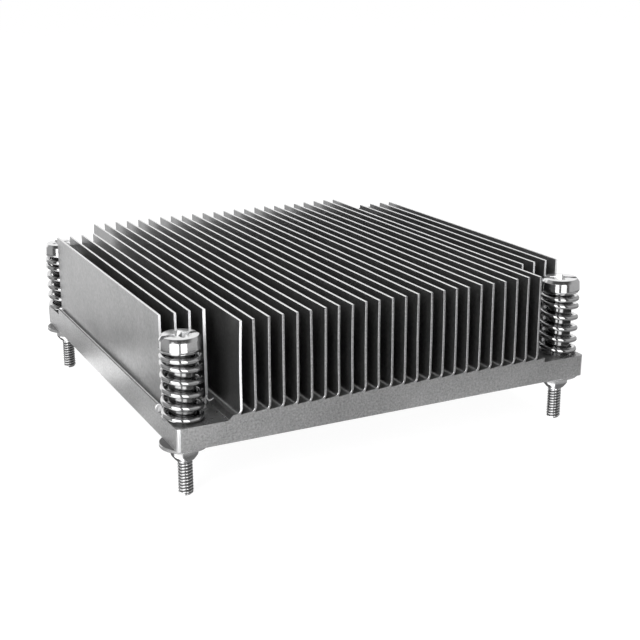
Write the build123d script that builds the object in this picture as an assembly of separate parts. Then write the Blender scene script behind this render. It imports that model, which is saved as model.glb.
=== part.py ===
"""Skived fin heat sink with four captive, spring-loaded shoulder screws.

X runs across the fins, Y along them and Z up. The origin is the centre of the underside of the base,
which is the face that meets the chip. Millimetres throughout.
"""

import os
from math import atan2, cos, degrees, pi, radians, sin

from build123d import *

# Base plate
BASE_WIDTH = 90.0
BASE_DEPTH = 90.0
BASE_CORNER_RADIUS = 0.6
LIP_HEIGHT = 5.8  # strip of the plate's top face that is left beside the first stroke of the blade
LIP_WIDTH = 0.2
ROOT_HEIGHT = 5.35  # floor of a gap at its high end, where it curls up into the next fin
ROOT_DROP = 0.2  # how much lower the floor is at its other end, behind the last fin

# Fins, peeled from the plate by a blade that leaves a sloping floor behind each one
FIN_COUNT = 32
FIN_THICKNESS = 0.5
FIN_HEIGHT = 17.5  # above the high end of the floor
FIRST_FIN_INSET = 1.1  # from the left side of the plate to the middle of the first fin
LAST_FIN_INSET = 0.5  # from the middle of the last fin to the right side of the plate
FOOT_RADIUS = 0.8  # curl from the floor into the front of a fin
FIRST_FOOT_RADIUS = 0.4  # the same in the narrow groove beside the lip
FOOT_CURL = 0.4  # how far the back of a fin tucks under at its foot
FOOT_CURL_HEIGHT = 1.4

# Corner pockets, milled down to a pad that the spring stands on
POCKET_WIDTH = 10.0
POCKET_DEPTH = 10.05
POCKET_CORNER_RADIUS = 1.0
PAD_HEIGHT = 4.4

# Screw places, measured from the sides of the plate
SCREW_INSET_X = 3.1
SCREW_INSET_Y = 5.0

# Shoulder screw
HEAD_DIAMETER = 7.6
HEAD_HEIGHT = 2.4
HEAD_BEVEL = 0.3
SLOT_WIDTH = 1.1
SLOT_DEPTH = 0.7
CROSS_SPAN = 4.4
CROSS_WING = 1.1
CROSS_DEPTH = 1.7
CROSS_TAPER = 12.0
SHOULDER_DIAMETER = 5.1
SHOULDER_CLEARANCE = 0.1  # radial, between the shoulder and its hole in the plate
SHOULDER_END_LENGTH = 2.8  # from the ring down to where the thread starts
SHOULDER_END_RADIUS = 0.9  # rounding of that end, drawn as two bevels
THREAD_DIAMETER = 2.84
THREAD_LENGTH = 7.0

# Retaining ring in the screw's groove, with three lugs and an open mouth
RING_DIAMETER = 9.2
RING_THICKNESS = 0.7
RING_RELIEF_DIAMETER = 6.0
RING_LUG_WIDTH = 1.5
RING_LUG_ANGLE = 76.0  # side lugs, measured from the middle of the mouth
RING_MOUTH = 3.34
GROOVE_DIAMETER = 4.0
GROOVE_RADIAL_CLEARANCE = 0.03
GROOVE_AXIAL_CLEARANCE = 0.05

# Compression spring, wound left-handed
SPRING_DIAMETER = 8.0
SPRING_LENGTH = 13.5  # as fitted, between the pad and the head
WIRE_DIAMETER = 1.1
WIRE_SIDES = 5  # the round wire is drawn as a bar with flat sides that fits inside it
SPRING_TURNS = 6.4
SPRING_CHORDS = 11  # straight lengths of wire that make up one turn
SPRING_DEAD_TURNS = 0.6  # flat end that lies on the pad
SPRING_OPENING_TURNS = 0.4  # from flat to full pitch
SPRING_CLOSING_TURNS = 1.2  # from full pitch to flat, under the head

# Corners of the plate: sign of X, sign of Y, where the spring's wire starts, how far the screw is turned
CORNERS = {
    "front_left": (-1, -1, 180.0, 20.0),
    "front_right": (1, -1, 216.0, 65.0),
    "back_left": (-1, 1, 150.0, 110.0),
    "back_right": (1, 1, 200.0, 155.0),
}

FIN_TOP = ROOT_HEIGHT + FIN_HEIGHT
FIN_PITCH = (BASE_WIDTH - FIRST_FIN_INSET - LAST_FIN_INSET) / (FIN_COUNT - 1)
HEAD_UNDERSIDE = PAD_HEIGHT + SPRING_LENGTH
HEAD_TOP = HEAD_UNDERSIDE + HEAD_HEIGHT
HOLE_DIAMETER = SHOULDER_DIAMETER + 2 * SHOULDER_CLEARANCE
CUT_MARGIN = 1.0  # how far a cutting tool runs past the face that it cuts


def fin_centre(index):
    """X of the middle of a fin, counted from 0 at the left."""
    return -BASE_WIDTH / 2 + FIRST_FIN_INSET + index * FIN_PITCH


def section_outline():
    """Outline of plate and fins seen from the front: a saw-toothed floor with a fin at each tooth."""
    left = -BASE_WIDTH / 2
    right = BASE_WIDTH / 2
    half = FIN_THICKNESS / 2
    low = ROOT_HEIGHT - ROOT_DROP
    curl_top = low + FOOT_CURL_HEIGHT
    edges = [Line((left, 0), (left, LIP_HEIGHT)), Line((left, LIP_HEIGHT), (left + LIP_WIDTH, LIP_HEIGHT))]
    pen = Vector(left + LIP_WIDTH, LIP_HEIGHT)
    for index in range(FIN_COUNT):
        x = fin_centre(index)
        radius = FIRST_FOOT_RADIUS if index == 0 else FOOT_RADIUS
        foot = Vector(x - half - radius, ROOT_HEIGHT)
        front = Vector(x - half, ROOT_HEIGHT + radius)
        edges.append(Line(pen, foot))
        edges.append(RadiusArc(foot, front, -radius))
        edges.append(Line(front, (x - half, FIN_TOP)))
        edges.append(Line((x - half, FIN_TOP), (x + half, FIN_TOP)))
        edges.append(Line((x + half, FIN_TOP), (x + half, curl_top)))
        pen = Vector(x + half - FOOT_CURL, low)
        edges.append(TangentArc((x + half, curl_top), pen, tangent=(0, -1)))
    slope = ROOT_DROP / (FIN_PITCH - FIN_THICKNESS - FOOT_RADIUS + FOOT_CURL)
    end = Vector(right, low + slope * (right - pen.X))
    edges += [Line(pen, end), Line(end, (right, 0)), Line((right, 0), (left, 0))]
    return edges


def heat_sink():
    """Plate and fins as one block: the section run from front to back, then the corners milled."""
    section = make_face(Wire(section_outline()))
    block = extrude(Plane.XZ * section, amount=BASE_DEPTH / 2, both=True)
    block &= extrude(RectangleRounded(BASE_WIDTH, BASE_DEPTH, BASE_CORNER_RADIUS), amount=FIN_TOP + CUT_MARGIN)
    pocket = RectangleRounded(2 * POCKET_WIDTH, 2 * POCKET_DEPTH, POCKET_CORNER_RADIUS)
    pocket = Pos(0, 0, PAD_HEIGHT) * extrude(pocket, amount=FIN_TOP - PAD_HEIGHT + CUT_MARGIN)
    hole = Cylinder(HOLE_DIAMETER / 2, PAD_HEIGHT + 2 * CUT_MARGIN, align=(Align.CENTER, Align.CENTER, Align.MIN))
    for sign_x, sign_y, *_ in CORNERS.values():
        block -= Pos(sign_x * BASE_WIDTH / 2, sign_y * BASE_DEPTH / 2, 0) * pocket
        block -= Pos(*screw_place(sign_x, sign_y), -CUT_MARGIN) * hole
    return block


def screw_place(sign_x, sign_y):
    """X and Y of a screw's axis."""
    return sign_x * (BASE_WIDTH / 2 - SCREW_INSET_X), sign_y * (BASE_DEPTH / 2 - SCREW_INSET_Y)


def shoulder_screw():
    """Head, shoulder, ring groove, rounded shoulder end and threaded end, turned about Z."""
    head = HEAD_DIAMETER / 2
    shoulder = SHOULDER_DIAMETER / 2
    groove = GROOVE_DIAMETER / 2
    end = shoulder - SHOULDER_END_RADIUS
    half_round = SHOULDER_END_RADIUS * cos(pi / 4)
    thread = THREAD_DIAMETER / 2
    groove_low = -RING_THICKNESS
    end_low = groove_low - SHOULDER_END_LENGTH
    tip = end_low - THREAD_LENGTH
    outline = Polyline(
        (0, HEAD_TOP),
        (head - HEAD_BEVEL, HEAD_TOP),
        (head, HEAD_TOP - HEAD_BEVEL),
        (head, HEAD_UNDERSIDE),
        (shoulder, HEAD_UNDERSIDE),
        (shoulder, GROOVE_AXIAL_CLEARANCE),
        (groove, GROOVE_AXIAL_CLEARANCE),
        (groove, groove_low),
        (shoulder, groove_low),
        (shoulder, end_low + SHOULDER_END_RADIUS),
        (end + half_round, end_low + SHOULDER_END_RADIUS - half_round),
        (end, end_low),
        (thread, end_low),
        (thread, tip),
        (0, tip),
        close=True,
    )
    screw = revolve(Plane.XZ * make_face(outline), Axis.Z)
    slot = Box(HEAD_DIAMETER, SLOT_WIDTH, SLOT_DEPTH + CUT_MARGIN, align=(Align.CENTER, Align.CENTER, Align.MIN))
    screw -= Pos(0, 0, HEAD_TOP - SLOT_DEPTH) * slot
    cross = Rectangle(CROSS_SPAN, CROSS_WING) + Rectangle(CROSS_WING, CROSS_SPAN)
    screw -= Pos(0, 0, HEAD_TOP) * extrude(cross, amount=-CROSS_DEPTH, taper=CROSS_TAPER)
    return screw


def retaining_ring():
    """Flat open ring with three lugs that reach into the groove. Its mouth opens towards +X."""
    outer = RING_DIAMETER / 2
    lug_end = GROOVE_DIAMETER / 2 + GROOVE_RADIAL_CLEARANCE
    lug = Pos(outer / 2, 0) * Rectangle(outer, RING_LUG_WIDTH)
    lugs = [Rot(0, 0, angle) * lug for angle in (RING_LUG_ANGLE, -RING_LUG_ANGLE, 180.0)]
    body = Circle(outer) - Circle(RING_RELIEF_DIAMETER / 2)
    for piece in lugs:
        body += piece & Circle(outer)
    body -= Circle(lug_end)
    body -= Pos(outer / 2, 0) * Rectangle(outer, RING_MOUTH)
    return extrude(body, amount=-RING_THICKNESS)


def spring_rise(turn):
    """Share of the spring's rise that is reached at a turn: the slope goes from flat to full to flat."""
    full_from = SPRING_DEAD_TURNS + SPRING_OPENING_TURNS
    full_to = SPRING_TURNS - SPRING_CLOSING_TURNS
    opening = min(max(turn - SPRING_DEAD_TURNS, 0.0), SPRING_OPENING_TURNS)
    steady = min(max(turn - full_from, 0.0), full_to - full_from)
    closing = max(turn - full_to, 0.0)
    reached = opening**2 / (2 * SPRING_OPENING_TURNS) + steady + closing - closing**2 / (2 * SPRING_CLOSING_TURNS)
    total = SPRING_OPENING_TURNS / 2 + full_to - full_from + SPRING_CLOSING_TURNS / 2
    return reached / total


def compression_spring(start):
    """Wire wound left-handed upwards from the angle start, standing on the pad and carrying the head."""
    coil = (SPRING_DIAMETER - WIRE_DIAMETER) / 2
    rise = SPRING_LENGTH - WIRE_DIAMETER
    steps = round(SPRING_TURNS * SPRING_CHORDS)
    points = []
    for step in range(steps + 1):
        turn = SPRING_TURNS * step / steps
        angle = radians(start) - 2 * pi * turn
        height = PAD_HEIGHT + WIRE_DIAMETER / 2 + rise * spring_rise(turn)
        points.append((coil * cos(angle), coil * sin(angle), height))
    path = Polyline(*points)
    section = Plane(origin=path @ 0, z_dir=path % 0) * RegularPolygon(WIRE_DIAMETER / 2, WIRE_SIDES)
    return sweep(section, path=path, transition=Transition.RIGHT)


def write(solid, name):
    """One STEP file for each piece, named after its node."""
    solid.label = name
    export_step(solid, f"parts/{name}.step")


def main():
    os.makedirs("parts", exist_ok=True)
    write(heat_sink(), "skived_heat_sink")
    screw = shoulder_screw()
    ring = retaining_ring()
    for corner, (sign_x, sign_y, wire_start, screw_turn) in CORNERS.items():
        x, y = screw_place(sign_x, sign_y)
        inwards = degrees(atan2(-sign_y, -sign_x))
        write(Pos(x, y, 0) * Rot(0, 0, screw_turn) * screw, f"shoulder_screw_{corner}")
        write(Pos(x, y, 0) * compression_spring(wire_start), f"spring_{corner}")
        write(Pos(x, y, 0) * Rot(0, 0, inwards) * ring, f"retaining_ring_{corner}")


main()
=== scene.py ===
"""Skived fin heat sink with captive, spring-loaded shoulder screws: the dressed model and its studio."""

from math import atan2, cos, pi, radians, sin

import bpy
import numpy as np
from mathutils import Matrix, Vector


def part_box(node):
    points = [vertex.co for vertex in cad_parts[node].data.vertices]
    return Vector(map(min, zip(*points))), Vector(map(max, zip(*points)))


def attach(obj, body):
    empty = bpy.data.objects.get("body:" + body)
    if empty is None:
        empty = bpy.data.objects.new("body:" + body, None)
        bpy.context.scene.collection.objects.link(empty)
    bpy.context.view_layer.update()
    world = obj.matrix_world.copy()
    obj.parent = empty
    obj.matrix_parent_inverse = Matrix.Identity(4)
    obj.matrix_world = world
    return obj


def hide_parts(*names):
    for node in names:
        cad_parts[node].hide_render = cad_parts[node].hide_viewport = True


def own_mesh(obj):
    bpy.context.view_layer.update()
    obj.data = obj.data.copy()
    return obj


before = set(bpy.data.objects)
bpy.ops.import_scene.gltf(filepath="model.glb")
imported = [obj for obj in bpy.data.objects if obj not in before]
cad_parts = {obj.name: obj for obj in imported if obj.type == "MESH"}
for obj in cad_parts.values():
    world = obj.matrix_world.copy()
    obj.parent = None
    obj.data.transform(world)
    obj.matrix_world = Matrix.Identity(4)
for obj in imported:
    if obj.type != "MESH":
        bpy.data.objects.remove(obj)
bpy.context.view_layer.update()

# Skived block.
# One bar of aluminium. A blade peels each fin up out of the plate and curls its foot over the floor that it
# leaves, so a fin is never quite flat. The ends are milled square, then the corners down to low pads.

MM = 0.001  # a millimetre in Blender's metres
plate_low, plate_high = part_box("skived_heat_sink")
screw_low, screw_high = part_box("shoulder_screw_front_left")
PLATE_WIDTH = round((plate_high.x - plate_low.x) / MM, 2)
PLATE_DEPTH = round((plate_high.y - plate_low.y) / MM, 2)
PLATE_CORNER = 0.8
LIP_TOP = 5.8
LIP_WIDTH = 0.2
FLOOR_HIGH = 5.35
FLOOR_LOW = 5.15
FIN_TOP = round(plate_high.z / MM, 2)
FINS = 32
FIRST_INSET = 1.1  # from the plate's left side to the middle of the first fin
LAST_INSET = 0.5
FIN_PITCH = (PLATE_WIDTH - FIRST_INSET - LAST_INSET) / (FINS - 1)
FIN_HALF = 0.225
FOOT_RADIUS = 0.8
FIRST_FOOT = 0.4
CURL = 0.4
CURL_TOP = 6.55
EDGE_BREAK = 0.05
LEAN = (0.07, 0.05)  # how much the fins' tops stand aside: from fin to fin, and along a fin
BOW = (0.05, 0.07)  # the same for their bellies
LIFT = (0.05, 0.03)  # the same for the height of their tops
BENT_FIN = 4  # the first one beside the front left pocket, which was knocked
STATIONS = 29
FLOOR_POINTS = 3
FOOT_POINTS = 5
SIDE_POINTS = 14
CELL = FLOOR_POINTS + 2 * SIDE_POINTS + 2  # points of one fin's outline and of the floor before it
POCKET_X = 10.0
POCKET_Y = 10.05
POCKET_CORNER = 1.0
PAD = 4.4
SCREW_X = -round((screw_low.x + screw_high.x) / 2 / MM, 2)
SCREW_Y = -round((screw_low.y + screw_high.y) / 2 / MM, 2)
SCREW_HOLE = 2.65
CORNERS = {
    "front_left": (-1, -1),
    "front_right": (1, -1),
    "back_left": (-1, 1),
    "back_right": (1, 1),
}


def waves(count, along, size, seed):
    """Slow unevenness: for each of count lines, a sum of three sines of along with random phases and sizes."""
    chance = np.random.default_rng(seed)
    total = np.zeros((count, along.size))
    for order in (0.5, 1.0, 1.7):
        phase = chance.uniform(0, 2 * pi, (count, 1))
        height = chance.normal(0, 1, (count, 1)) / (1 + order)
        total = total + height * np.sin(2 * pi * order * along[None, :] / PLATE_DEPTH + phase)
    return size * total


def comb_cell():
    """Outline of one fin about its own middle, from foot to foot: x and z of the left side from the foot's
    quarter circle straight up to the top, of the top's two broken corners, and of the right side down to
    the curl, where x falls back with the square of the depth below the curl's start."""
    turn = np.linspace(0, pi / 2, FOOT_POINTS)
    left_x = -FIN_HALF - FOOT_RADIUS + FOOT_RADIUS * np.sin(turn)
    left_z = FLOOR_HIGH + FOOT_RADIUS * (1 - np.cos(turn))
    rise = np.linspace(0, 1, SIDE_POINTS - FOOT_POINTS + 1)[1:]
    side_z = left_z[-1] + (FIN_TOP - EDGE_BREAK - left_z[-1]) * rise
    left_x = np.concatenate([left_x, np.full(rise.size, -FIN_HALF)])
    left_z = np.concatenate([left_z, side_z])
    depth = np.linspace(1, 0, FOOT_POINTS)
    right_x = FIN_HALF - CURL * depth**2
    right_z = CURL_TOP - (CURL_TOP - FLOOR_LOW) * depth
    right_x = np.concatenate([right_x, np.full(rise.size, FIN_HALF)])
    right_z = np.concatenate([right_z, CURL_TOP + (FIN_TOP - EDGE_BREAK - CURL_TOP) * rise])
    top_x = np.array([-FIN_HALF + EDGE_BREAK, FIN_HALF - EDGE_BREAK])
    return (left_x, left_z), (top_x, np.full(2, FIN_TOP)), (right_x, right_z)


def comb_grid():
    """Points of the block as stations along Y by points round the section. Each fin is its outline at its own
    place, plus a lean that grows with height, a bow that follows a half sine of height, and a top that rises
    and falls a little. Between fins lie three points of the sloping floor, and under each point of the plate's
    upper line lies one of the underside."""
    (left_x, left_z), (top_x, top_z), (right_x, right_z) = comb_cell()
    cell_x = np.concatenate([left_x, top_x, right_x[::-1]])
    cell_z = np.concatenate([left_z, top_z, right_z[::-1]])
    centre = -PLATE_WIDTH / 2 + FIRST_INSET + FIN_PITCH * np.arange(FINS)
    share = np.linspace(0, 1, FLOOR_POINTS + 2)[1:-1]
    before = FIN_HALF - CURL - FIN_PITCH
    foot = -FIN_HALF - FOOT_RADIUS
    floor_x = before + (foot - before) * share
    floor_z = FLOOR_LOW + (FLOOR_HIGH - FLOOR_LOW) * share
    x = centre[:, None] + np.concatenate([floor_x, cell_x])[None, :]
    z = np.repeat(np.concatenate([floor_z, cell_z])[None, :], FINS, axis=0)
    left = -PLATE_WIDTH / 2
    x[0, :FLOOR_POINTS] = [left, left + LIP_WIDTH, left + LIP_WIDTH + 0.12]
    z[0, :FLOOR_POINTS] = [LIP_TOP, LIP_TOP, (LIP_TOP + FLOOR_HIGH) / 2]
    side = centre[0] - FIN_HALF
    first_foot = slice(FLOOR_POINTS, FLOOR_POINTS + FOOT_POINTS)
    x[0, first_foot] = side + (x[0, first_foot] - side) * FIRST_FOOT / FOOT_RADIUS
    z[0, first_foot] = FLOOR_HIGH + (z[0, first_foot] - FLOOR_HIGH) * FIRST_FOOT / FOOT_RADIUS
    end_x = np.array([PLATE_WIDTH / 2])
    slope = (FLOOR_HIGH - FLOOR_LOW) / (foot - before)
    end_z = FLOOR_LOW + slope * (end_x - x[-1, -1])
    break_y = PLATE_DEPTH / 2 - EDGE_BREAK
    inner = np.linspace(-1, 1, STATIONS - 2) * break_y
    y = np.concatenate([[-PLATE_DEPTH / 2], inner, [PLATE_DEPTH / 2]])
    height = np.clip((z - FLOOR_HIGH - FOOT_RADIUS) / (FIN_TOP - FLOOR_HIGH - FOOT_RADIUS), 0, 1)
    chance = np.random.default_rng(11)
    lean = chance.normal(0.0, LEAN[0], (FINS, 1)) + waves(FINS, y, LEAN[1], 3)
    bow = chance.normal(0.0, BOW[0], (FINS, 1)) + waves(FINS, y, BOW[1], 5)
    lift = chance.normal(0.0, LIFT[0], (FINS, 1)) + waves(FINS, y, LIFT[1], 7)
    lean[BENT_FIN] += 0.3
    bow[BENT_FIN] -= 0.15
    px = x[:, :, None] + height[:, :, None] * lean[:, None, :]
    px = px + np.sin(pi * height)[:, :, None] * bow[:, None, :]
    pz = z[:, :, None] + (height**3)[:, :, None] * lift[:, None, :]
    flat_x = px.transpose(2, 0, 1).reshape(STATIONS, -1)
    flat_z = pz.transpose(2, 0, 1).reshape(STATIONS, -1)
    upper_x = np.hstack([flat_x, np.repeat(end_x[None, :], STATIONS, 0)])
    upper_z = np.hstack([flat_z, np.repeat(end_z[None, :], STATIONS, 0)])
    return upper_x, upper_z, y


def comb_chain():
    """Places in a station's row of the points that form the plate's upper line, from left to right: floor
    points, a fin's foot, and the end of its curl."""
    in_cell = np.array([*range(FLOOR_POINTS + 1), CELL - 1])
    return np.append(CELL * np.arange(FINS)[:, None] + in_cell[None, :], FINS * CELL)


def inwards(x, z, step):
    """The closed outline x, z moved inwards by step along its own normals, the mean of both sides'."""
    dx, dz = np.roll(x, -1) - x, np.roll(z, -1) - z
    size = np.maximum(np.hypot(dx, dz), 1e-9)
    nx, nz = dz / size, -dx / size
    mx, mz = nx + np.roll(nx, 1), nz + np.roll(nz, 1)
    size = np.maximum(np.hypot(mx, mz), 1e-9)
    return x + step * mx / size, z + step * mz / size


def new_piece(name, points, faces, smooth=40.0):
    """A mesh object at the origin from points in millimetres and faces, smooth but for edges over an angle."""
    mesh = bpy.data.meshes.new(name)
    mesh.from_pydata((np.asarray(points) * MM).tolist(), [], [list(face) for face in faces])
    mesh.update()
    piece = bpy.data.objects.new(name, mesh)
    bpy.context.scene.collection.objects.link(piece)
    if smooth:
        mesh.polygons.foreach_set("use_smooth", np.ones(len(mesh.polygons), bool))
        mesh.set_sharp_from_angle(angle=radians(smooth))
    return piece


def grid_faces(rows, columns, first=0, closed=True):
    """Quads of a grid of rows by columns points, numbered row by row. A closed grid joins its last column to
    its first."""
    row = np.arange(rows - 1)[:, None]
    column = np.arange(columns if closed else columns - 1)[None, :]
    after = (column + 1) % columns
    a = first + row * columns + column
    b = first + row * columns + after
    return np.stack([a, b, b + columns, a + columns], -1).reshape(-1, 4)


def block_mesh():
    """The comb's closed section run through all stations, with both ends closed: rungs across every fin from
    left side to right side, and strips from the plate's upper line down to the underside."""
    upper_x, upper_z, y = comb_grid()
    chain = comb_chain()
    across = upper_x.shape[1]
    below_x = upper_x[:, chain[::-1]]
    below_z = np.zeros_like(below_x)
    x = np.hstack([upper_x, below_x])
    z = np.hstack([upper_z, below_z])
    for end in (0, STATIONS - 1):
        x[end], z[end] = inwards(x[end], z[end], EDGE_BREAK)
    columns = x.shape[1]
    points = np.stack([x, np.repeat(y[:, None], columns, 1), z], -1).reshape(-1, 3)
    faces = [grid_faces(STATIONS, columns)]
    rungs = []
    for fin in range(FINS):
        left = fin * CELL + FLOOR_POINTS + np.arange(SIDE_POINTS)
        right = fin * CELL + CELL - 1 - np.arange(SIDE_POINTS)
        rungs.append(np.stack([left[:-1], right[:-1], right[1:], left[1:]], -1))
        rungs.append([[left[-1], right[-1], left[-1] + 2, left[-1] + 1]])
    under = across + len(chain) - 1 - np.arange(len(chain))
    rungs.append(np.stack([under[:-1], under[1:], chain[1:], chain[:-1]], -1))
    rungs = np.vstack(rungs)
    faces.append(rungs)
    faces.append(rungs[:, ::-1] + (STATIONS - 1) * columns)
    return points, np.vstack(faces)


def prism(outline, low, high):
    """A straight bar from height low to height high whose section is the closed outline."""
    count = len(outline)
    outline = np.asarray(outline, float)
    points = [np.column_stack([outline, np.full(count, height)]) for height in (low, high)]
    faces = grid_faces(2, count).tolist()
    return np.vstack(points), faces + [list(range(count))[::-1], list(range(count, 2 * count))]


def corner_cutters():
    """Outlines of what the mills take away at a corner of the plate, for signs +1, +1: the pocket with its
    rounded inner corner, the hole, and the sliver outside the plate's rounded corner."""
    turn = np.linspace(0, pi / 2, 11)
    px, py = PLATE_WIDTH / 2 - POCKET_X, PLATE_DEPTH / 2 - POCKET_Y
    bend_x = px + POCKET_CORNER * (1 - np.sin(turn))
    bend_y = py + POCKET_CORNER * (1 - np.cos(turn))
    out = PLATE_WIDTH / 2 + 2
    pocket = [(out, py), (out, out), (px, out)] + list(zip(bend_x, bend_y))[::-1]
    round_turn = np.linspace(0, 2 * pi, 64, endpoint=False)
    circle = np.column_stack([np.cos(round_turn), np.sin(round_turn)])
    hole = (SCREW_X, SCREW_Y) + SCREW_HOLE * circle
    rim = PLATE_WIDTH / 2 - PLATE_CORNER
    arc_x = rim + PLATE_CORNER * np.sin(turn)
    arc_y = rim + PLATE_CORNER * np.cos(turn)
    sliver = [(out, rim), (out, out), (rim, out)] + list(zip(arc_x, arc_y))
    return pocket, hole, sliver


EASE_OVERLAP = 0.2  # how far inside the pocket the eased wall starts
EASE_WIDTH = 1.55
EASE_LIFT = 0.1  # its start above the pad
EASE_RISE = FLOOR_HIGH + 0.08 - PAD


def eased_wall():
    """A bar along Y that rounds the front left pocket's right wall over into the floor: its lower side rises as
    a smooth step, 3 t^2 - 2 t^3, from the pad's side to the floor's."""
    share = np.linspace(0, 1, 13)
    px = PLATE_WIDTH / 2 - POCKET_X
    x = -px - EASE_OVERLAP + EASE_WIDTH * share
    z = PAD + EASE_LIFT + EASE_RISE * share**2 * (3 - 2 * share)
    section = np.vstack([np.column_stack([x, z]), [(x[-1], FLOOR_HIGH + 0.6), (x[0], FLOOR_HIGH + 0.6)]])
    points, faces = prism(section, -PLATE_DEPTH / 2 - 1, -PLATE_DEPTH / 2 + POCKET_Y)
    return points[:, [0, 2, 1]], [face[::-1] for face in faces]


def joined(parts):
    """Several lots of points and faces as one."""
    points, faces, count = [], [], 0
    for some_points, some_faces in parts:
        points.append(some_points)
        faces += [[index + count for index in face] for face in some_faces]
        count += len(some_points)
    return np.vstack(points), faces


def mirrored(outline, sign_x, sign_y):
    """The outline at another corner, still running anticlockwise."""
    points = np.asarray(outline, float) * (sign_x, sign_y)
    return points if sign_x * sign_y > 0 else points[::-1]


def cut(piece, cutter):
    """Takes cutter away from piece for good."""
    change = piece.modifiers.new("cut", "BOOLEAN")
    change.operation = "DIFFERENCE"
    change.solver = "EXACT"
    change.object = cutter
    bpy.context.view_layer.update()
    mesh = bpy.data.meshes.new_from_object(piece.evaluated_get(bpy.context.evaluated_depsgraph_get()))
    piece.modifiers.clear()
    piece.data = mesh
    bpy.data.objects.remove(cutter)


block = new_piece("skived_block", *block_mesh(), smooth=None)
pocket, hole, sliver = corner_cutters()
cut(block, new_piece("pockets", *joined([
    prism(mirrored(pocket, *signs), PAD, FIN_TOP + 3) for signs in CORNERS.values()
]), smooth=None))
cut(block, new_piece("eased_wall", *eased_wall(), smooth=None))
cut(block, new_piece("holes_and_rims", *joined([
    prism(mirrored(outline, *signs), -2, PAD + 3) for signs in CORNERS.values() for outline in (hole, sliver)
]), smooth=None))


class Signal:
    """A socket of a shader: a value that varies over a surface. Arithmetic on it adds Math nodes."""

    def __init__(self, tree, socket=None):
        self.tree = tree
        self.socket = socket

    def node(self, kind, settings=None, inputs=None, output=0):
        """Adds a node of this kind: its settings first, then the values or links of its sockets."""
        made = self.tree.nodes.new(kind)
        for name, value in (settings or {}).items():
            if name == "stops":
                ramp = made.color_ramp
                while len(ramp.elements) < len(value):
                    ramp.elements.new(0.5)
                for element, (place, level) in zip(ramp.elements, value):
                    element.position = place
                    element.color = (level, level, level, 1)
            else:
                setattr(made, name, value)
        for name, value in (inputs or {}).items():
            if isinstance(value, Signal):
                self.tree.links.new(value.socket, made.inputs[name])
            else:
                made.inputs[name].default_value = value
        return Signal(self.tree, made.outputs[output])

    def math(self, operation, *values):
        """One Math node on numbers and signals."""
        return self.node("ShaderNodeMath", {"operation": operation}, dict(enumerate(values)))

    def __add__(self, other):
        return self.math("ADD", self, other)

    def __radd__(self, other):
        return self.math("ADD", other, self)

    def __sub__(self, other):
        return self.math("SUBTRACT", self, other)

    def __rsub__(self, other):
        return self.math("SUBTRACT", other, self)

    def __mul__(self, other):
        return self.math("MULTIPLY", self, other)

    def __rmul__(self, other):
        return self.math("MULTIPLY", other, self)

    def __truediv__(self, other):
        return self.math("DIVIDE", self, other)

    def step(self, start, end):
        """From 0 at start to 1 at end, smoothly."""
        settings = {"interpolation_type": "SMOOTHSTEP"}
        return self.node("ShaderNodeMapRange", settings, {"Value": self, "From Min": start, "From Max": end})


def place_mm(signal):
    """The surface's own place, in millimetres, as a vector."""
    place = signal.node("ShaderNodeTexCoord", output="Object")
    return signal.node("ShaderNodeVectorMath", {"operation": "SCALE"}, {0: place, "Scale": 1000.0})


def part_of(vector, name):
    """One component of a vector."""
    return vector.node("ShaderNodeSeparateXYZ", None, {0: vector}, output=name)


def grain(place, stretch, scale, detail=4.0, rough=0.6):
    """Cloudy noise between 0 and 1 at a scale in 1/mm, after its place is stretched along the axes."""
    stretched = place.node("ShaderNodeVectorMath", {"operation": "MULTIPLY"}, {0: place, 1: stretch})
    inputs = {"Vector": stretched, "Scale": scale, "Detail": detail, "Roughness": rough}
    return place.node("ShaderNodeTexNoise", None, inputs, output=0)


def metal(name, tone, gloss, build, metallic=1.0):
    """A bare metal: tone and gloss are its plain colour and roughness, and build returns how the tone, the
    roughness and the height of the surface vary about them. A torn or sawn surface is less than fully metallic,
    since its fine grooves scatter the light."""
    material = bpy.data.materials.new(name)
    material.use_nodes = True
    tree = material.node_tree
    shader = tree.nodes["Principled BSDF"]
    shader.inputs["Metallic"].default_value = metallic
    signal = Signal(tree)
    shade, rough, height, depth = build(signal, place_mm(signal))
    level = shade * tone
    colour = signal.node("ShaderNodeCombineColor", None, {0: level, 1: level, 2: level * 1.006})
    tree.links.new(colour.socket, shader.inputs["Base Color"])
    tree.links.new((rough * gloss).socket, shader.inputs["Roughness"])
    bump = signal.node("ShaderNodeBump", None, {"Height": height, "Distance": depth * MM, "Strength": 1.0})
    tree.links.new(bump.socket, shader.inputs["Normal"])
    return material


def fin_face(signal, place):
    """Left by the blade: fine lines up the fin, cloudy patches of oxide and a fine matt speckle."""
    lines = grain(place, (1.0, 1.0, 0.04), 5.0)
    cloud = grain(place, (1.0, 1.0, 1.0), 0.12, 5.0)
    speckle = grain(place, (1.0, 1.0, 1.0), 1.8, 3.0)
    shade = 0.1 + cloud * 0.6 + speckle * 1.0 + lines * 0.2
    rough = 0.75 + cloud * 0.3 + speckle * 0.2
    return shade, rough, lines * 0.6 + speckle, 0.006


def cut_edge(signal, place):
    """Fresh metal where the mill cut through the fins, with short marks along the cut."""
    marks = grain(place, (1.0, 0.3, 0.3), 3.0)
    return 0.9 + marks * 0.2, 0.8 + marks * 0.4, marks, 0.005


def plate_side(signal, place):
    """Sawn and brushed sides of the plate: fine upright scoring, a matt speckle and slow uneven tone."""
    scoring = grain(place, (1.0, 1.0, 0.12), 2.6)
    speckle = grain(place, (1.0, 1.0, 1.0), 2.4, 4.0, 0.7)
    cloud = grain(place, (1.0, 1.0, 1.0), 0.09, 3.0)
    shade = scoring * 0.3 - 0.35 + speckle * 1.9 + cloud * 0.5
    return shade, 0.85 + speckle * 0.3, scoring * 0.5 + speckle, 0.008


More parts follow.
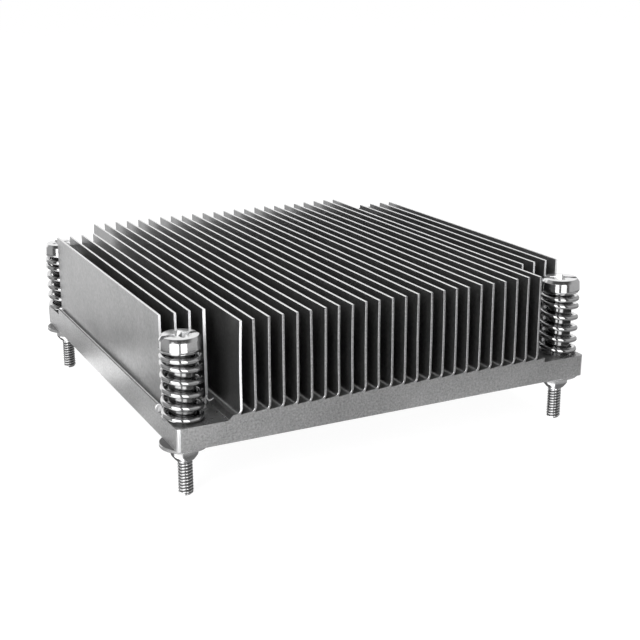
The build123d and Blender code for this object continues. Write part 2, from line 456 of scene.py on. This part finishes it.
def milled_pad(signal, place):
    """Floor and walls of a milled pocket: close curved cutter marks and a speckle, in a dark tone that is
    painted shade under the spring and fins.
    """
    rings = place.node(
        "ShaderNodeTexWave",
        {"wave_type": "RINGS", "rings_direction": "SPHERICAL"},
        {"Vector": place, "Scale": 0.9, "Distortion": 1.2, "Detail": 2.0, "Detail Scale": 1.5},
        output=1,
    )
    cloud = grain(place, (1.0, 1.0, 1.0), 0.4, 4.0)
    speckle = grain(place, (1.0, 1.0, 1.0), 2.2, 4.0, 0.7)
    return 0.2 + cloud * 0.4 + speckle * 1.1 + rings * 0.1, 0.8 + cloud * 0.4, rings + speckle, 0.01


SKIVED, CUT, SAWN, MILLED, OUTER, FIN_END, CORNER_HIGHLIGHT = range(7)
block_materials = [
    # The inner fin faces and the floors between them: a dark copy of the skived finish, painted shade between
    # the fins.
    metal("skived face in painted shade", 0.24, 0.32, fin_face, metallic=0.93),
    metal("fresh cut edge", 0.62, 0.30, cut_edge, metallic=0.8),
    metal("sawn side", 0.45, 0.34, plate_side, metallic=0.85),
    # Painted shade: the pockets' floors and walls take a dark tone.
    metal("milled pad in painted shade", 0.28, 0.28, milled_pad, metallic=0.86),
    # The outer faces of the first and last fin: a lighter copy of the same skived finish, painted light.
    metal("outer fin face in painted light", 0.33, 0.32, fin_face, metallic=0.9),
    # Fin ends in a bright tone: partly the mill's finish in the pockets, partly a painted highlight on the
    # leftmost fins' ends.
    metal("milled fin end and painted highlight", 0.80, 0.45, cut_edge, metallic=0.35),
    # A near-white tone on the plate's rounded corners: a painted highlight.
    metal("plate corner in painted highlight", 0.95, 0.30, cut_edge),
]


OUTER_BAND = 0.95  # how far in from the plate's sides the outer faces of the first and last fin lie; they take the lighter copy of the blade's finish, painted light
PAINTED_HIGHLIGHT_LEFT_OF = -32.0  # left of this the fins' ends keep the bright milled tone, partly a painted highlight, and right of it they are sawn with the plate


def sort_block_faces(mesh):
    """Finish of each face from its normal and place: milled edges, sawn plate sides and fin ends, pockets, the
    outer sides of the first and last fin, and else the blade's faces. The blade's faces take a dark tone,
    painted shade between the fins, and the outer sides of the first and last fin a lighter one, painted light.
    The bright fin ends are partly a painted highlight, and the plate's rounded corners carry a painted
    highlight."""
    count = len(mesh.polygons)
    normal = np.zeros(count * 3)
    centre = np.zeros(count * 3)
    mesh.polygons.foreach_get("normal", normal)
    mesh.polygons.foreach_get("center", centre)
    nx, ny, nz = normal.reshape(-1, 3).T
    nx, ny = np.abs(nx), np.abs(ny)
    x, y, z = np.abs(centre.reshape(-1, 3).T) / MM
    side_x = centre[::3] / MM
    finish = np.zeros(count, np.int32)
    pocket = (x > PLATE_WIDTH / 2 - POCKET_X - 0.01) & (y > PLATE_DEPTH / 2 - POCKET_Y - 0.01) & (z < 6.5)
    finish[pocket & (z > PAD - 0.01)] = MILLED
    finish[(x > PLATE_WIDTH / 2 - OUTER_BAND) & (nx > 0.6) & (z > LIP_TOP + 0.1)] = OUTER
    # Bright fin ends, partly a painted highlight.
    finish[(ny > 0.6) & (z > FLOOR_HIGH)] = FIN_END
    finish[(nz > 0.6) & (z > FIN_TOP - 1)] = CUT
    finish[(ny > 0.6) & (z > FLOOR_HIGH) & (y > PLATE_DEPTH / 2 - 0.1) & (side_x > PAINTED_HIGHLIGHT_LEFT_OF)] = SAWN
    outer_x = (x > PLATE_WIDTH / 2 - PLATE_CORNER) & (nx > 0.3)
    outer_y = (y > PLATE_DEPTH / 2 - PLATE_CORNER) & (ny > 0.3)
    outer = outer_x | outer_y
    finish[outer & (z < LIP_TOP + 0.01)] = SAWN
    # Painted highlight: the rounded corners of the plate take the near-white tone.
    finish[outer & (nx > 0.2) & (ny > 0.2) & (z < LIP_TOP + 0.01)] = CORNER_HIGHLIGHT
    finish[nz < -0.9] = SAWN
    mesh.polygons.foreach_set("material_index", finish)


for material in block_materials:
    block.data.materials.append(material)
sort_block_faces(block.data)
block.data.polygons.foreach_set("use_smooth", np.ones(len(block.data.polygons), bool))
block.data.set_sharp_from_angle(angle=radians(28))
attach(block, "heat_sink")
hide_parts("skived_heat_sink")

# Milling burrs.
# Where the mill leaves the front left pocket it drags out two thin curls of aluminium, one at the foot of the
# first fin and one at the foot of the fourth. They hang on by their roots.

BURR_LINES = {
    "first_fin": [(-44.2, -34.9, 5.2), (-44.5, -35.0, 5.7), (-44.9, -35.1, 5.9), (-45.2, -35.1, 5.7),
                  (-45.4, -35.0, 5.3), (-45.3, -35.0, 5.0)],
    "fourth_fin": [(-35.4, -34.9, 6.3), (-35.4, -35.2, 5.5), (-35.1, -35.5, 5.1), (-34.6, -35.5, 5.1),
                   (-34.1, -35.4, 5.4)],
}
BURR_ROOT = 0.2
BURR_TIP = 0.08


def rounded_path(corners, rounds=3):
    """The corners with each side's points at a quarter and three quarters put in their place, several times."""
    line = np.asarray(corners, float)
    for _ in range(rounds):
        cuts = np.stack([0.75 * line[:-1] + 0.25 * line[1:], 0.25 * line[:-1] + 0.75 * line[1:]], 1)
        line = np.vstack([line[:1], cuts.reshape(-1, 3), line[-1:]])
    return line


def tube_round(line, out, size, steps):
    """A tube along line: at each point a circle of its own size in the plane of out and of the direction square
    to out and to the line, with both ends closed."""
    ahead = np.gradient(line, axis=0)
    across = np.cross(ahead, out)
    across /= np.linalg.norm(across, axis=1)[:, None]
    turn = np.linspace(0, 2 * pi, steps, endpoint=False)
    circle = np.cos(turn)[None, :, None] * out[:, None, :] + np.sin(turn)[None, :, None] * across[:, None, :]
    points = line[:, None, :] + np.reshape(size, (-1, 1, 1)) * circle
    faces = grid_faces(len(line), steps).tolist()
    ring = list(range(steps))
    return points.reshape(-1, 3), faces + [ring[::-1], [index + (len(line) - 1) * steps for index in ring]]


torn_curl = metal("torn curl", 0.90, 0.35, cut_edge, metallic=0.4)
for fin_name, corners in BURR_LINES.items():
    line = rounded_path(corners)
    out = np.repeat([[0.0, -1.0, 0.0]], len(line), 0)
    burr = new_piece(f"burr_{fin_name}", *tube_round(line, out, np.linspace(BURR_ROOT, BURR_TIP, len(line)), 8))
    burr.data.materials.append(torn_curl)
    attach(burr, "heat_sink")

# Shoulder screws.
# Turned from steel rod and nickel plated. Each has a low pan head with slot and cross recess, a long plain
# shoulder through spring and plate, a groove for the ring, a bowl-shaped end and a thread whose root is painted
# dark, painted shade in its grooves.

HEAD_RADIUS = round((screw_high.x - screw_low.x) / 2 / MM, 2)
HEAD_TOP = round(screw_high.z / MM, 2)
HEAD_LOW = 17.45
SLOT_HALF = 0.55
SLOT_DEPTH = 0.7
CROSS_WING = [(2.2, 0.55), (0.75, 0.75), (0.55, 2.2)]  # a quarter of the cross, from wing to wing
CROSS_DEPTH = 1.7
SHOULDER_RADIUS = 2.55
GROOVE_RADIUS = 2.0
RING_THICKNESS = 0.7
BOWL_END = -3.5
BOWL_HEIGHT = 1.0
THREAD_RADIUS = 1.42
THREAD_PITCH = 0.6
THREAD_DEPTH = 0.18
SHADED_ROOT_RADIUS = THREAD_RADIUS - 0.55 * THREAD_DEPTH  # the thread's root lies inside it
THREAD_START = BOWL_END - 0.05
TIP = round(screw_low.z / MM, 2)
TIP_RADIUS = 0.95
TIP_SLOPE = 1.1
SCREW_TURN = {"front_left": 4.0, "front_right": 150.0, "back_left": 110.0, "back_right": 155.0}


def rounded_line(corners, steps=7):
    """A line through corners (x, z, radius), each replaced by a parabola that touches both sides where an arc
    of its radius would, or near their middles if they are shorter than that."""
    corners = np.asarray(corners, float)
    points = [corners[0, :2]]
    for before, at, after in zip(corners[:-2], corners[1:-1], corners[2:]):
        back = before[:2] - at[:2]
        on = after[:2] - at[:2]
        back_length, on_length = np.hypot(*back), np.hypot(*on)
        back, on = back / back_length, on / on_length
        half = np.arccos(np.clip(back @ on, -1, 1)) / 2
        reach = min(at[2] / np.tan(half), back_length * 0.49, on_length * 0.49)
        if reach < 1e-6:
            points.append(at[:2])
            continue
        share = np.linspace(0, 1, steps)[:, None]
        start, end = at[:2] + back * reach, at[:2] + on * reach
        points += list((1 - share) ** 2 * start + 2 * share * (1 - share) * at[:2] + share**2 * end)
    points.append(corners[-1, :2])
    return np.array(points)


def screw_mesh(around=72):
    """A lathe surface: the profile's radius and height at every angle. On the threaded length the radius
    falls below the crest by a cosine wave of height / pitch - angle / full turn, and that fall fades in below
    the shoulder end and at the tip's chamfer."""
    solid = rounded_line([
        (0, HEAD_TOP + 0.08, 0), (2.2, HEAD_TOP + 0.1, 1.0), (HEAD_RADIUS - 0.4, HEAD_TOP + 0.07, 0.1),
        (HEAD_RADIUS + 0.06, HEAD_TOP - 0.6, 0.2), (HEAD_RADIUS + 0.17, HEAD_LOW + 0.55, 0.6),
        (HEAD_RADIUS - 0.2, HEAD_LOW, 0.15),
        (SHOULDER_RADIUS, HEAD_LOW, 0.2), (SHOULDER_RADIUS, 0.05, 0.08),
        (GROOVE_RADIUS, 0.05, 0.05), (GROOVE_RADIUS, -RING_THICKNESS, 0.05),
        (SHOULDER_RADIUS, -RING_THICKNESS, 0.12), (SHOULDER_RADIUS, BOWL_END + BOWL_HEIGHT, 0.7),
        (1.8, BOWL_END, 0.4), (THREAD_RADIUS - 0.1, BOWL_END - 0.02, 0.05),
    ])
    rod_z = np.linspace(THREAD_START, TIP, 150)
    rod_r = np.minimum(THREAD_RADIUS, TIP_RADIUS + (rod_z - TIP) * TIP_SLOPE)
    profile = np.vstack([solid[1:], np.column_stack([rod_r, rod_z])])
    angle = np.linspace(0, 2 * pi, around, endpoint=False)
    radius = np.repeat(profile[:, :1], around, 1)
    height = np.repeat(profile[:, 1:], around, 1)
    phase = height / THREAD_PITCH - angle[None, :] / (2 * pi)
    valley = 0.5 - 0.5 * np.cos(2 * pi * phase)
    fade = np.clip((BOWL_END - 0.1 - height) / 0.5, 0, 1) * (height < BOWL_END)
    thread = np.minimum(radius, THREAD_RADIUS - THREAD_DEPTH * valley * fade)
    radius = np.where(fade > 0, thread, radius)
    points = np.stack([radius * np.cos(angle), radius * np.sin(angle), height], -1).reshape(-1, 3)
    rows = len(profile)
    faces = grid_faces(rows, around)[:, ::-1].tolist()
    top, tip = len(points), len(points) + 1
    points = np.vstack([points, [[0, 0, HEAD_TOP + 0.08], [0, 0, TIP]]])
    ring = np.arange(around)
    faces += np.stack([np.full(around, top), ring, (ring + 1) % around], -1).tolist()
    last = (rows - 1) * around
    faces += np.stack([np.full(around, tip), last + (ring + 1) % around, last + ring], -1).tolist()
    return points, faces


def cross_cutter():
    """The slot's bar and the cross recess, whose four wings narrow as they go down."""
    reach = HEAD_RADIUS + 1.2
    slot_box = prism([(-reach, -SLOT_HALF), (reach, -SLOT_HALF), (reach, SLOT_HALF), (-reach, SLOT_HALF)],
                     HEAD_TOP - SLOT_DEPTH, HEAD_TOP + 2)
    wing = np.array(CROSS_WING)
    outline = np.vstack([wing @ np.array([[cos(a), sin(a)], [-sin(a), cos(a)]]) for a in np.arange(4) * pi / 2])
    outline = outline[np.argsort(np.arctan2(outline[:, 1], outline[:, 0]))]
    count = len(outline)
    high = np.column_stack([outline * 1.12, np.full(count, HEAD_TOP + 0.6)])
    low = np.column_stack([outline * 0.62, np.full(count, HEAD_TOP - CROSS_DEPTH)])
    points = np.vstack([low, high, [[0, 0, HEAD_TOP - CROSS_DEPTH - 0.3]]])
    faces = grid_faces(2, count).tolist() + [list(range(count, 2 * count))]
    ring = np.arange(count)
    faces += np.stack([np.full(count, 2 * count), (ring + 1) % count, ring], -1).tolist()
    return slot_box, (points, faces)


def nickel(signal, place):
    """Bright plating: nearly even, with faint clouds and wipe marks round the axis."""
    cloud = grain(place, (1.0, 1.0, 1.0), 0.7, 4.0)
    wipe = grain(place, (0.6, 0.6, 4.0), 1.5)
    return 0.9 + cloud * 0.14, 0.7 + cloud * 0.4 + wipe * 0.25, cloud + wipe * 0.5, 0.004


screw_plating = metal("bright nickel plate", 0.74, 0.15, nickel)
# The shoulder inside the spring takes a darker copy of the same plating: painted shade.
shaded_shoulder_plating = metal("nickel plate in painted shade", 0.34, 0.14, nickel)
# Painted shade: faces in the thread's grooves take a dark tone.
thread_root_shade = metal("thread root in painted shade", 0.18, 0.3, nickel)
screw_pattern = new_piece("screw_pattern", *screw_mesh(), smooth=None)
slot_part, cross_part = cross_cutter()
cut(screw_pattern, new_piece("slot_cutter", *slot_part, smooth=None))
cut(screw_pattern, new_piece("cross_cutter", *cross_part, smooth=None))
screw_pattern.data.polygons.foreach_set("use_smooth", np.ones(len(screw_pattern.data.polygons), bool))
screw_pattern.data.set_sharp_from_angle(angle=radians(42))
screw_pattern.data.materials.append(screw_plating)
screw_pattern.data.materials.append(shaded_shoulder_plating)
screw_pattern.data.materials.append(thread_root_shade)
for face in screw_pattern.data.polygons:
    height, radius = face.center.z / MM, face.center.xy.length / MM
    if TIP + 0.4 < height < BOWL_END - 0.25 and radius < SHADED_ROOT_RADIUS:
        face.material_index = 2
    else:
        face.material_index = int(0.3 < height < HEAD_LOW - 0.3 and radius < SHOULDER_RADIUS + 0.05)
for corner, signs in CORNERS.items():
    mesh = screw_pattern.data.copy()
    where = Matrix.Translation((signs[0] * SCREW_X * MM, signs[1] * SCREW_Y * MM, 0))
    mesh.transform(where @ Matrix.Rotation(radians(SCREW_TURN[corner]), 4, "Z"))
    screw = bpy.data.objects.new(f"screw_{corner}", mesh)
    bpy.context.scene.collection.objects.link(screw)
    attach(screw, f"screw_{corner}")
    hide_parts(f"shoulder_screw_{corner}")
bpy.data.objects.remove(screw_pattern)

# Springs.
# Round nickel-plated wire wound left-handed. Half a turn lies on the pad, four and a half open turns rise
# from it, and the last turn lies close on the one below it. The ends are sheared off, not ground.

SPRING_MEAN = 3.45
WIRE_RADIUS = 0.55
SPRING_TURNS = 6.4
DEAD_TURNS = 0.48
OPENING_TURNS = 0.5
CLOSING_FROM = 1.5  # turns before the upper end
CLOSING_TURNS = 0.6
CLOSED_SLOPE = 0.42
SPRING_START = {"front_left": 180.0, "front_right": 216.0, "back_left": 150.0, "back_right": 200.0}


def spring_mesh(start, x, y):
    """A tube round a left-handed helix. Its slope is nil over the dead turns, grows to full over the opening
    turns, and falls to the closed slope over the closing turns. Its height is the running sum of that slope."""
    turn = np.linspace(0, SPRING_TURNS, 330)
    closing = np.clip((turn - SPRING_TURNS + CLOSING_FROM) / CLOSING_TURNS, 0, 1)
    slope = np.clip((turn - DEAD_TURNS) / OPENING_TURNS, 0, 1) * (1 - (1 - CLOSED_SLOPE) * closing)
    climb = np.concatenate([[0], np.cumsum((slope[1:] + slope[:-1]) / 2)])
    low, high = PAD + WIRE_RADIUS, HEAD_LOW - WIRE_RADIUS
    z = low + (high - low) * climb / climb[-1]
    angle = radians(start) - 2 * pi * turn
    outward = np.column_stack([np.cos(angle), np.sin(angle), np.zeros(turn.size)])
    line = SPRING_MEAN * outward + np.column_stack([np.full(turn.size, x), np.full(turn.size, y), z])
    return tube_round(line, outward, np.full(turn.size, WIRE_RADIUS), 14)


spring_plating = metal("drawn nickel wire", 0.62, 0.09, nickel)
for corner, signs in CORNERS.items():
    x, y = signs[0] * SCREW_X, signs[1] * SCREW_Y
    spring = new_piece(f"coil_{corner}", *spring_mesh(SPRING_START[corner], x, y))
    spring.data.materials.append(spring_plating)
    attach(spring, "heat_sink")
    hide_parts(f"spring_{corner}")
    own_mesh(spring)

# Retaining rings.
# Open rings stamped from spring steel. Three lugs grip the screw's groove under the plate, and the mouth
# through which each ring was pushed on faces the middle of the plate.

RING_RADIUS = 4.6
RING_RELIEF = 3.0
LUG_END = 2.03
LUG_ANGLES = [76.0, 180.0, 284.0]  # from the middle of the mouth
LUG_HALF = 13.0
LUG_FLANK = 8.0
MOUTH_HALF = 1.67
RING_EDGE = 0.09


def ring_mesh(turn, x, y):
    """A bar with broken edges carried round the axis from one side of the mouth to the other. Its outer side is
    a circle. Its inner side steps smoothly from the relief's radius in to the lugs' end at each lug, and stays
    there from the outer lugs to the mouth."""
    sweep = np.linspace(0, 1, 160)
    share = 2 * pi * sweep
    gap = np.abs((share[:, None] - np.radians(LUG_ANGLES)[None, :] + pi) % (2 * pi) - pi).min(1)
    ease = np.clip((gap - radians(LUG_HALF)) / radians(LUG_FLANK), 0, 1)
    inner = LUG_END + (RING_RELIEF - LUG_END) * ease**2 * (3 - 2 * ease)
    inner = np.where((share < radians(70)) | (share > radians(290)), LUG_END, inner)
    low, high, edge = -RING_THICKNESS, 0.0, RING_EDGE
    middle = (low + high) / 2
    under = [(0, 0, low + edge), (0, edge, low), (0.5, 0, low), (1, -edge, low), (1, 0, low + edge)]
    over = [(1, 0, high - edge), (1, -edge, high), (0.5, 0, high), (0, edge, high), (0, 0, high - edge)]
    side, offset, level = np.array([*under, (1, 0, middle), *over, (0, 0, middle)]).T
    radius = inner[:, None] + (RING_RADIUS - inner[:, None]) * side[None, :] + offset[None, :]
    start = np.arcsin(np.clip(MOUTH_HALF / radius, 0, 1))
    angle = start + (2 * pi - 2 * start) * sweep[:, None] + turn
    points = np.stack([
        x + radius * np.cos(angle), y + radius * np.sin(angle), np.repeat(level[None, :], sweep.size, 0)
    ], -1).reshape(-1, 3)
    count = level.size
    faces = grid_faces(sweep.size, count)[:, ::-1].tolist()
    faces += [list(range(count)), list(range((sweep.size - 1) * count, sweep.size * count))[::-1]]
    return points, faces


# The rings' flat faces take a dark tone and their edges a bright one.
ring_edge = metal("bright stamped edge", 0.70, 0.20, nickel)
ring_flat = metal("dark ring flats", 0.16, 0.30, nickel)
for corner, signs in CORNERS.items():
    x, y = signs[0] * SCREW_X, signs[1] * SCREW_Y
    ring = new_piece(f"clip_{corner}", *ring_mesh(atan2(-signs[1], -signs[0]), x, y))
    for material in (ring_edge, ring_flat):
        ring.data.materials.append(material)
    for face in ring.data.polygons:
        face.material_index = int(abs(face.normal.z) > 0.9)
    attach(ring, f"ring_{corner}")
    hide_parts(f"retaining_ring_{corner}")

# Studio.
# A white sweep on which the part stands on the ends of its screws, under a grey tent that is dark in front and
# white behind. Two tall white cards in the dark, near left and farther front, give the plating its highlights.


def by_bearing(signal, bearing, stops):
    """Brightness that changes with bearing, in degrees from the front towards the left, through the stops."""
    peak = max(level for _, level in stops)
    places = [((degrees + 180) / 360, level / peak) for degrees, level in stops]
    return signal.node("ShaderNodeValToRGB", {"stops": places}, {0: bearing / 360 + 0.5}) * peak


def bearing_of(signal, vector):
    """Bearing of a direction or place, in degrees: 0 in front, 90 to the left, -90 to the right."""
    across = 0 - part_of(vector, "X")
    ahead = 0 - part_of(vector, "Y")
    return signal.math("ARCTAN2", across, ahead) * (180 / pi)


# Brightness by bearing of the tent, of its skirt, and of the paper round each screw
ABOVE = [(-137, 1.1), (-130, 0.5), (-20, 0.5), (-14, 0.1), (78, 0.1), (86, 0.45), (140, 0.4), (148, 1.25)]
BELOW = [(-180, 0.05), (140, 0.04), (148, 1.05), (166, 1.05), (172, 0.05)]
PAPER = [(-140, 0.2), (-10, 0.18), (30, 0.18), (42, 2), (104, 2), (116, 0.12)]
# Where the tent changes with the rise of a direction, from -1 straight down to 1 straight up, and to what level
SKIRT_TOP = (-0.285, -0.25)
GROUND, GROUND_LEVEL = (-0.48, -0.38), 0.42
HOOD, HOOD_LEVEL = (0.6, 0.72), 0.08
ZENITH, ZENITH_LEVEL = (0.9, 0.98), 0.18
FILL = 0.5  # the tent's level for all light that isn't a reflection

world = bpy.data.worlds.new("tent")
bpy.context.scene.world = world
world.use_nodes = True
signal = Signal(world.node_tree)
direction = signal.node("ShaderNodeTexCoord", output="Generated")
seen = signal.node("ShaderNodeLightPath", output="Is Camera Ray")
glossy = signal.node("ShaderNodeLightPath", output="Is Glossy Ray")
rise = part_of(direction, "Z")
bearing = bearing_of(signal, direction)
front = 1 - bearing.math("ABSOLUTE", bearing).step(95.0, 115.0)
lifted = rise.step(*SKIRT_TOP)
cloth = by_bearing(signal, bearing, ABOVE) * lifted + by_bearing(signal, bearing, BELOW) * (1 - lifted)
sunk = 1 - rise.step(*GROUND)
cloth = cloth * (1 - sunk) + sunk * GROUND_LEVEL
dark = front * rise.step(*HOOD)
cloth = cloth * (1 - dark) + dark * HOOD_LEVEL
steep = rise.step(*ZENITH)
cloth = cloth * (1 - steep) + steep * ZENITH_LEVEL
level = signal.math("MAXIMUM", seen, glossy * cloth + (1 - glossy) * FILL)
background = world.node_tree.nodes["Background"]
world.node_tree.links.new(level.socket, background.inputs["Color"])


def bare_material(name):
    """A material with no shader yet, and a signal to build one with."""
    material = bpy.data.materials.new(name)
    material.use_nodes = True
    material.node_tree.nodes.remove(material.node_tree.nodes["Principled BSDF"])
    return material, Signal(material.node_tree)


FLOOR_HALF = 4000.0
NEAR_PAPER = (20.0, 25.0)  # from a screw, in reflections: the bright and dark pattern fades to even grey here
FAR_PAPER = (36.0, 44.0)  # and the grey fades out here, so that the cards and the tent show

sides = FLOOR_HALF * np.array([(-1, -1), (1, -1), (1, 1), (-1, 1)])
floor = new_piece("floor", np.column_stack([sides, np.full(4, TIP)]), [(0, 1, 2, 3)], smooth=None)
paper, signal = bare_material("white sweep")
seen = signal.node("ShaderNodeLightPath", output="Is Camera Ray")
glossy = signal.node("ShaderNodeLightPath", output="Is Glossy Ray")
matt = signal.node("ShaderNodeBsdfDiffuse", None, {"Color": (0.8, 0.8, 0.8, 1)})
faint = signal.node("ShaderNodeBsdfDiffuse", None, {"Color": (0.12, 0.12, 0.12, 1)})
glow = signal.node("ShaderNodeEmission", None, {"Color": (1, 1, 1, 1), "Strength": 0.94})
shown = signal.node("ShaderNodeAddShader", None, {0: faint, 1: glow})
spot = place_mm(signal)
side_x = signal.node("ShaderNodeMath", {"operation": "SIGN"}, {0: part_of(spot, "X")}) * SCREW_X
side_y = signal.node("ShaderNodeMath", {"operation": "SIGN"}, {0: part_of(spot, "Y")}) * SCREW_Y
screw_spot = signal.node("ShaderNodeCombineXYZ", None, {0: side_x, 1: side_y, 2: part_of(spot, "Z")})
apart = signal.node("ShaderNodeVectorMath", {"operation": "SUBTRACT"}, {0: spot, 1: screw_spot})
away = signal.node("ShaderNodeVectorMath", {"operation": "LENGTH"}, {0: apart}, output="Value")
far = away.step(*FAR_PAPER)
middle = away.step(*NEAR_PAPER)
under = by_bearing(signal, bearing_of(signal, apart), PAPER) * (1 - middle) + middle * 0.45
near = signal.node("ShaderNodeEmission", None, {"Color": under, "Strength": 1.0})
through = signal.node("ShaderNodeBsdfTransparent")
reflected = signal.node("ShaderNodeMixShader", None, {0: far, 1: near, 2: through})
mixed = signal.node("ShaderNodeMixShader", None, {0: seen, 1: matt, 2: shown})
mixed = signal.node("ShaderNodeMixShader", None, {0: glossy, 1: mixed, 2: reflected})
paper.node_tree.links.new(mixed.socket, paper.node_tree.nodes["Material Output"].inputs["Surface"])
floor.data.materials.append(paper)

white_card, signal = bare_material("white card")
glossy = signal.node("ShaderNodeLightPath", output="Is Glossy Ray")
shining = signal.node("ShaderNodeEmission", None, {"Color": (1, 1, 1, 1), "Strength": 2.4})
clear = signal.node("ShaderNodeBsdfTransparent")
mixed = signal.node("ShaderNodeMixShader", None, {0: glossy, 1: clear, 2: shining})
white_card.node_tree.links.new(mixed.socket, white_card.node_tree.nodes["Material Output"].inputs["Surface"])


def upright_card(name, bearing, distance, width, low, high):
    """A card that faces the front left screw from a bearing and a distance, seen in reflections alone."""
    turn = radians(bearing)
    middle = np.array([-SCREW_X - distance * sin(turn), -SCREW_Y - distance * cos(turn)])
    along = np.array([-cos(turn), sin(turn)]) * width / 2
    left, right = middle - along, middle + along
    corners = [(*left, low), (*right, low), (*right, high), (*left, high)]
    card = new_piece(name, corners, [(0, 1, 2, 3)], smooth=None)
    card.data.materials.append(white_card)


upright_card("near_card", bearing=52, distance=180, width=158, low=-360, high=200)
upright_card("front_card", bearing=1.5, distance=300, width=165, low=-600, high=320)


def softbox(name, bearing, height, distance, width, tall, power):
    """A square lamp at a bearing, in degrees from the front towards the left, that faces the part. It stays out
    of the part's reflections."""
    lamp = bpy.data.lights.new(name, "AREA")
    lamp.shape = "RECTANGLE"
    lamp.size, lamp.size_y, lamp.energy = width, tall, power
    lamp_object = bpy.data.objects.new(name, lamp)
    turn = radians(bearing)
    lamp_object.location = (-distance * sin(turn), -distance * cos(turn), height)
    lamp_object.rotation_euler = lamp_object.location.to_track_quat("Z", "Y").to_euler()
    lamp_object.visible_glossy = False
    bpy.context.scene.collection.objects.link(lamp_object)


softbox("key softbox", bearing=53, height=0.25, distance=0.5, width=0.25, tall=0.4, power=4.0)
softbox("top softbox", bearing=170, height=0.6, distance=0.25, width=0.6, tall=0.6, power=5.0)

# Camera.
# Stands a little to the left of the front and looks down on the part, with the photograph's short-tele lens.

IMAGE = 640
SENSOR = 36.0
FOCAL_LENGTH = 1173.38  # in pixels of the photograph
CENTRE = (300, 313)  # where the lens points, in pixels from its upper left corner
YAW, PITCH, ROLL = 25.817, 16.718, -0.5
STAND = (-0.10907, -0.22784, 0.08367)

camera_data = bpy.data.cameras.new("camera")
camera = bpy.data.objects.new("camera", camera_data)
bpy.context.scene.collection.objects.link(camera)
bpy.context.scene.camera = camera
camera_data.sensor_width = SENSOR
camera_data.lens = FOCAL_LENGTH / IMAGE * SENSOR
camera_data.shift_x = (IMAGE / 2 - CENTRE[0]) / IMAGE
camera_data.shift_y = (CENTRE[1] - IMAGE / 2) / IMAGE
camera_data.clip_start, camera_data.clip_end = 0.01, 20.0
yaw, pitch, roll = radians(YAW), radians(PITCH), radians(ROLL)
ahead = np.array([sin(yaw) * cos(pitch), cos(yaw) * cos(pitch), -sin(pitch)])
right = np.array([cos(yaw), -sin(yaw), 0.0])
up = np.cross(right, ahead)
right, up = right * cos(roll) + up * sin(roll), up * cos(roll) - right * sin(roll)
place = Matrix(np.column_stack([right, up, -ahead]).tolist()).to_4x4()
place.translation = STAND
camera.matrix_world = place

bpy.context.scene.view_settings.view_transform = "Standard"
